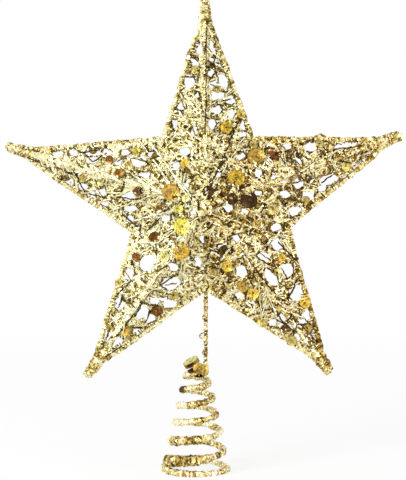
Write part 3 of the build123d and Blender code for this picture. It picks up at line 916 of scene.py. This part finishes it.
def addSequin(shape, centre, axis, diameter, tint):
    # a shallow cup with a hole, the film's two faces joined at the rim and the hole
    inner, half = sequins["hole"] / 2, diameter / 2
    profile = [(inner + (half - inner) * out, sequins["cup"] * half * rise)
               for out, rise in sequins["profile"]]
    ring = [(r, h + sequins["thickness"]) for r, h in profile] + [(r, h) for r, h in reversed(profile)]
    across = axis.orthogonal().normalized()
    other = axis.cross(across)
    base, sides, count = len(shape["verts"]), sequins["segments"], len(ring)
    for n in range(sides):
        turn = math.tau * n / sides
        out = across * math.cos(turn) + other * math.sin(turn)
        shape["verts"] += [centre + out * r + axis * h for r, h in ring]
    for n in range(sides):
        here, there = base + n * count, base + (n + 1) % sides * count
        for k in range(count):
            m = (k + 1) % count
            shape["faces"].append((here + k, there + k, there + m, here + m))
            # each ring of the film gets a painted shade: darker round the hole and at the rim, with lighter
            # and darker painted reflection bands between
            band = max(min(k, count - 2 - k, len(sequins["ringPaintedShade"]) - 1), 0)
            shade = sequins["ringPaintedShade"][band]
            shape["tint"].append((*[min(part * shade, 1) for part in tint], 1))


def spotsNear(discs):  # each disc's own spot in the photograph, the nearest pairs first
    pairs = sorted(
        ((toPixel(disc[0]) - Vector(spot)).length, number, name, spot)
        for number, disc in enumerate(discs) for name in tints for spot in sequins[name])
    matched, used = {}, set()
    for apart, number, name, spot in pairs:
        if apart < sequins["match"] and number not in matched and spot not in used:
            matched[number] = name, spot
            used.add(spot)
    return matched


# sequins stuck in the spring's last turn
# pixel, how far before the spring's axis, lean to the right and upward, diameter, colour
# the discs darken down the heap as painted shade, and the lowest, dark disc is a painted shadow
heap = (
    ((191, 366.5), 4.2, (-1.3, 3.8), 5.8, "brown"), ((193.5, 371), 5.6, (-1.2, 3.2), 5.8, "brown"),
    ((198.5, 368.5), 6.7, (0.2, 0.25), 5.8, "tan"), ((203.5, 370.5), 5.7, (0.8, 0.3), 5.8, "gold"),
    ((199, 376), 5.2, (0.1, 3.2), 5.8, "dark"),
)


def addHeap(shape):
    for spot, before, (right, up), diameter, name in heap:
        place = pixelOnPlane(spot, toRear * -before, toRear)
        addSequin(shape, place, Vector((right, -1, up)).normalized(), diameter, tints[name])


def makeSequins(node, body, faceWay, share):
    rng = random.Random(node)
    shape = dict(verts=[], faces=[], tint=[])
    discs = discsOf(node)
    matched = spotsNear(discs)
    for number, (centre, axis, diameter) in enumerate(discs):
        axis = axis if axis.dot(faceWay) > 0 else -axis
        other = rng.choice(sequins["others"])
        name, spot = matched.get(number, (other, None))
        name = other if faceWay == toRear else name
        if share and spot:
            centre = pixelOnPlane(spot, centre, axis)
        fade = rng.uniform(*sequins["fade"])
        tint = tuple(min(part * fade, 1) for part in tints[name])
        most = math.radians(sequins["untidy"]) * max(1 - diameter / sequins["calm"], sequins["leastUntidy"])
        most = math.radians(sequins["slant"]) if name in sequins["slanted"] else most
        untidy = Vector([rng.uniform(-1, 1) for _ in range(3)]) * most * share
        tilt = (axis.lerp(faceWay, share).normalized() + untidy).normalized()
        tilt = sequins["leans"].get(name, tilt).normalized()
        lift = sequins["sink"] * diameter / 2 * math.sin(axis.angle(tilt)) + sequins["lift"] if share else 0
        addSequin(shape, centre + axis * lift, tilt, diameter, tint)
    if not share:
        addHeap(shape)
    makePiece(node + "_film", shape, sequinFilm, node, body)


for armName in star["arms"]:
    for face in (front, rear):
        makeSequins(f"{armName}_arm_{faceNames[face]}_sequins", "star", toRear * face, sequins["faceShare"])
makeSequins("spring_head_sequins", "spring_head", upward, 0)
print("sequins placed")

# spring and stem
spring = dict(
    footRadius=15.3, flare=1.0, headRadius=4.9, wireRadius=1.25, turns=5.75, footTurns=0.8, flareTurns=0.6,
    startTurn=0.1, footPitch=10.5, headPitch=6.75, headRise=4.6, headEase=0.45,
    pointsPerTurn=48, headPoints=12,
    coatRadius=1.6, step=0.85, sides=9, rough=0.16, swell=0.2, tones=(0.05, 0.98), change=0.5,
    clump=1.8, clumpRise=5.25, clumpHeight=26.0, clumpWay=Vector((-0.7, -0.7, 0)),
    # pixel, reach and tone of a patch of painted light where pale and painted shade where dark
    lightAndShadePatches=(((178, 455), 9, 0.05), ((191, 458), 6, 0.15), ((203, 458), 7, 0.4), ((192, 441), 8, 0.15),
             ((180, 422), 8, 0.85), ((181, 405), 6, 0.9), ((182, 389.5), 4, -0.4), ((199, 408), 6, 0.05)),
    curl=((189, 374), (184.5, 373.5), (182.5, 376), (184, 379), (188, 378)),
    curlRadius=0.32, curlBend=0.8, curlTone=0.3,
)
stem = dict(
    radius=1.0, bend=7.0, gap=0.1,
    coatRadius=1.02, step=0.8, sides=8, rough=0.18, swell=0.16, tones=(-0.4, 0.75), change=0.6,
    turns=24, windRadius=0.28, windGap=-0.35, setback=3.0, belowCorner=6.0, pointsPerTurn=12,  # winding
    curls=(((204, 333), (201, 333), (199.5, 336), (201, 339.5), (203, 338), (201, 335.5)),
           ((204, 315), (202, 317), (204, 320)), ((204, 349), (202, 352), (204, 355))),
    curlRadius=0.34, curlBend=0.8, curlTone=0.2,
)


def springPlace(turn):
    climb = max(turn, 0)
    fade = (spring["headPitch"] - spring["footPitch"]) / (2 * spring["turns"])
    closing = (spring["headRadius"] - spring["footRadius"]) / spring["turns"]
    if turn < 0:
        closing = -spring["flare"] / spring["flareTurns"]
    radius = spring["footRadius"] + closing * turn
    height = spring["wireRadius"] + spring["footPitch"] * climb + fade * climb ** 2
    angle = math.tau * (turn + spring["startTurn"])
    return Vector((radius * math.cos(angle), radius * math.sin(angle), height))


def stemBehind():
    return star["wireRadius"] + stem["radius"] + stem["gap"]


def stemFoot():
    head = springPlace(spring["turns"])
    return Vector((star["centre"].x, stemBehind(), head.z + spring["headRise"]))


def springPath():
    fine = spring["pointsPerTurn"]
    count = int((spring["turns"] + spring["footTurns"]) * fine)
    path = [springPlace(k / fine - spring["footTurns"]) for k in range(count)]
    path.append(springPlace(spring["turns"]))
    way = (path[-1] - path[-2]).normalized()
    head, foot = path[-1], stemFoot()
    ease = (foot - head).length * spring["headEase"]
    leaving, arriving = head + way * ease, foot - upward * ease
    for k in range(1, spring["headPoints"] + 1):  # the wire turns up into the stem
        t = k / spring["headPoints"]
        place = head * (1 - t) ** 3 + leaving * 3 * t * (1 - t) ** 2
        path.append(place + arriving * 3 * t * t * (1 - t) + foot * t ** 3)
    return path


def stemPoints():
    corner, hub, foot = cornerPlace(star["arms"].index("lower_left")), hubPlace(rear), stemFoot()
    groove = (hub - corner).normalized()
    top = hub - groove * (star["hubRadius"] + 2 * stem["radius"])
    top += Vector((0, groove.z, -groove.y)) * stemBehind()
    return [foot, Vector((foot.x, foot.y, corner.z)), Vector((foot.x, top.y, top.z))]


def windingPath():
    foot, bend, _ = stemPoints()
    reach = stem["radius"] + stem["windRadius"] + stem["windGap"]
    low = foot.z + stem["setback"]
    pitch = (bend.z - stem["belowCorner"] - low) / stem["turns"]
    path = []
    for k in range(stem["turns"] * stem["pointsPerTurn"] + 1):
        turn = k / stem["pointsPerTurn"]
        path.append(Vector((foot.x + reach * math.cos(math.tau * turn),
                            foot.y + reach * math.sin(math.tau * turn), low + pitch * turn)))
    return path


def springThick(place):  # the glitter is thickest on the front left of the low turns
    facing = max(Vector((place.x, place.y, 0)).normalized().dot(spring["clumpWay"]), 0)
    low = max(1 - place.z / spring["clumpHeight"], 0)
    return spring["coatRadius"] + spring["clump"] * facing * low * min(place.z / spring["clumpRise"], 1)


def springTone(rng):
    toneAt = dashes(spring, rng)

    def patched(place):
        # patches of painted light and shade on the front of the turns
        for spot, reach, tone in spring["lightAndShadePatches"]:
            if place.y < spring["wireRadius"] and (toPixel(place) - Vector(spot)).length < reach:
                return tone
        return toneAt(place)
    return patched


def addCurl(shape, pixels, through, look, rng):  # a fine loose end, on the plane of what it hangs on
    path = rounded([pixelOnPlane(pixel, through, toRear) for pixel in pixels], look["curlBend"])
    addTube(shape, path, look["curlRadius"], rng, web, look["curlTone"])


springShape, springRng = newShape(), random.Random("spring")
addTube(springShape, springPath(), springThick, springRng, spring, springTone(springRng))
addCurl(springShape, spring["curl"], Vector((0, 0, 0)), spring, springRng)
# flat where it stands
springShape["verts"] = [Vector((v.x, v.y, max(v.z, 0))) for v in springShape["verts"]]
springPiece = makePiece("conical_spring_coat", springShape, springGlitter, "conical_spring", None)
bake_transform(springPiece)

stemShape, stemRng = newShape(), random.Random("stem")
stemPath = rounded(stemPoints(), stem["bend"])
addTube(stemShape, stemPath, stem["coatRadius"], stemRng, stem, dashes(stem, stemRng))
makePiece("stem_wire_coat", stemShape, springGlitter, "stem_wire", "star")

windShape, windRng = newShape(), random.Random("wind")
addTube(windShape, windingPath(), stem["windRadius"], windRng, stem, dashes(stem, windRng))
for curl in stem["curls"]:
    addCurl(windShape, curl, stemFoot(), stem, windRng)
makePiece("stem_winding_coat", windShape, springGlitter, "stem_winding", "star")

# tip bindings and hub beads
binding = dict(
    radius=0.35, turns=3, pitch=1.3, setback=5.0, gap=0.15, pointsPerTurn=24,
    step=0.6, sides=6, rough=0.2, swell=0.2, tones=(0.0, 0.8), change=0.5,
)
hubBead = dict(radii=(3.1, 1.7, 3.1), rings=7, sides=12, rough=0.1, tone=0.5)


def bindingPath(arm):
    wide = bundleHalf + star["wireRadius"] + binding["gap"] + binding["radius"]
    deep = bundleDeep + star["wireRadius"] + binding["gap"] + binding["radius"]
    out, across = armWay(arm), acrossWay(arm)
    start = star["tipRadius"] - binding["setback"] - binding["turns"] * binding["pitch"]
    foot = star["centre"] + out * start
    path = []
    for k in range(binding["turns"] * binding["pointsPerTurn"] + 1):
        turn = k / binding["pointsPerTurn"]
        place = foot + out * binding["pitch"] * turn + across * wide * math.cos(math.tau * turn)
        path.append(place + toRear * deep * math.sin(math.tau * turn))
    return path


for arm, armName in enumerate(star["arms"]):
    shape, node = newShape(), f"{armName}_arm_tip_binding"
    rng = random.Random(node)
    addTube(shape, bindingPath(arm), binding["radius"], rng, binding, dashes(binding, rng))
    makePiece(node + "_coat", shape, frameGlitter, node, "star")
for face in (front, rear):
    shape, node = newShape(), f"{faceNames[face]}_hub_weld"
    addBead(shape, hubPlace(face), hubBead, random.Random(node))
    makePiece(node + "_coat", shape, frameGlitter, node, "star")
print("spring, stem, bindings and hubs made")

# floor, light and camera
light = dict(
    ambient=0.66, floorWhite=0.95, floorRough=0.8, floorSpread=6.0,
    floorGlow=(0.8, 1.0), floorFade=(0.1, 0.8),  # share of plain white, and where it rises, in metres
    lamps=(
        dict(name="key", power=9.0, size=0.45, place=(-0.75, -0.65, 0.55), colour=(0.95, 1.0, 0.98)),
        dict(name="fill", power=2.6, size=0.25, place=(0.75, -0.65, 0.15), colour=(1.0, 0.92, 0.78)),
    ),
)


def seenRay(nodes, links):  # 1 for what the camera, a reflection or glass shows
    paths = nodes.new("ShaderNodeLightPath")
    seen = addMath(nodes, links, "MAXIMUM", paths.outputs["Is Camera Ray"], paths.outputs["Is Glossy Ray"])
    return addMath(nodes, links, "MAXIMUM", seen, paths.outputs["Is Transmission Ray"])


def makeFloor():
    wide = light["floorSpread"]
    mesh = bpy.data.meshes.new("floor")
    corners = [(-wide, -wide, 0), (wide, -wide, 0), (wide, wide, 0), (-wide, wide, 0)]
    mesh.from_pydata(corners, [], [(0, 1, 2, 3)])
    floor = bpy.data.objects.new("floor", mesh)
    bpy.context.scene.collection.objects.link(floor)
    material, nodes, links, shader = newMaterial("paleFloor")
    shader.inputs["Base Color"].default_value = (light["floorWhite"],) * 3 + (1,)
    shader.inputs["Roughness"].default_value = light["floorRough"]
    glow, mix = nodes.new("ShaderNodeEmission"), nodes.new("ShaderNodeMixShader")
    away = nodes.new("ShaderNodeVectorMath")  # past the shadow the floor goes over into the white
    away.operation = "LENGTH"
    links.new(nodes.new("ShaderNodeTexCoord").outputs["Object"], away.inputs[0])
    fade = addRange(nodes, links, away.outputs["Value"], *light["floorGlow"])
    for end, value in zip(("From Min", "From Max"), light["floorFade"]):
        fade.node.inputs[end].default_value = value
    links.new(addMath(nodes, links, "MULTIPLY", seenRay(nodes, links), fade), mix.inputs[0])
    links.new(shader.outputs[0], mix.inputs[1])
    links.new(glow.outputs[0], mix.inputs[2])
    links.new(mix.outputs[0], nodes["Material Output"].inputs[0])
    mesh.materials.append(material)


def makeLight():
    world = bpy.data.worlds.new("studio")
    bpy.context.scene.world = world
    world.use_nodes = True
    nodes, links = world.node_tree.nodes, world.node_tree.links
    strength = addRange(nodes, links, seenRay(nodes, links), light["ambient"], 1.0)
    links.new(strength, nodes["Background"].inputs["Strength"])
    nodes["Background"].inputs["Color"].default_value = (1, 1, 1, 1)
    for look in light["lamps"]:
        lamp = bpy.data.lights.new(look["name"], "AREA")
        lamp.energy, lamp.size, lamp.color = look["power"], look["size"], look["colour"]
        holder = bpy.data.objects.new(look["name"], lamp)
        holder.location = look["place"]
        aim = star["centre"] * mm - holder.location
        holder.rotation_euler = aim.to_track_quat("-Z", "Y").to_euler()
        bpy.context.scene.collection.objects.link(holder)


def makeCamera():
    lens = bpy.data.cameras.new("photoView")
    camera = bpy.data.objects.new("photoView", lens)
    camera.location = eye * mm
    camera.rotation_euler = (viewCentre - eye).to_track_quat("-Z", "Y").to_euler()
    lens.sensor_fit = "AUTO"  # the frame is taller than wide, so the sensor's width spans its height
    lens.sensor_width = view["sensor"]
    lens.lens = lens.sensor_width * view["distance"] / (view["size"][1] * view["pixel"])
    lens.clip_start, lens.clip_end = view["clip"]
    bpy.context.scene.collection.objects.link(camera)
    bpy.context.scene.camera = camera


makeFloor()
makeLight()
makeCamera()
bpy.context.scene.view_settings.view_transform = "Standard"
print("scene ready")
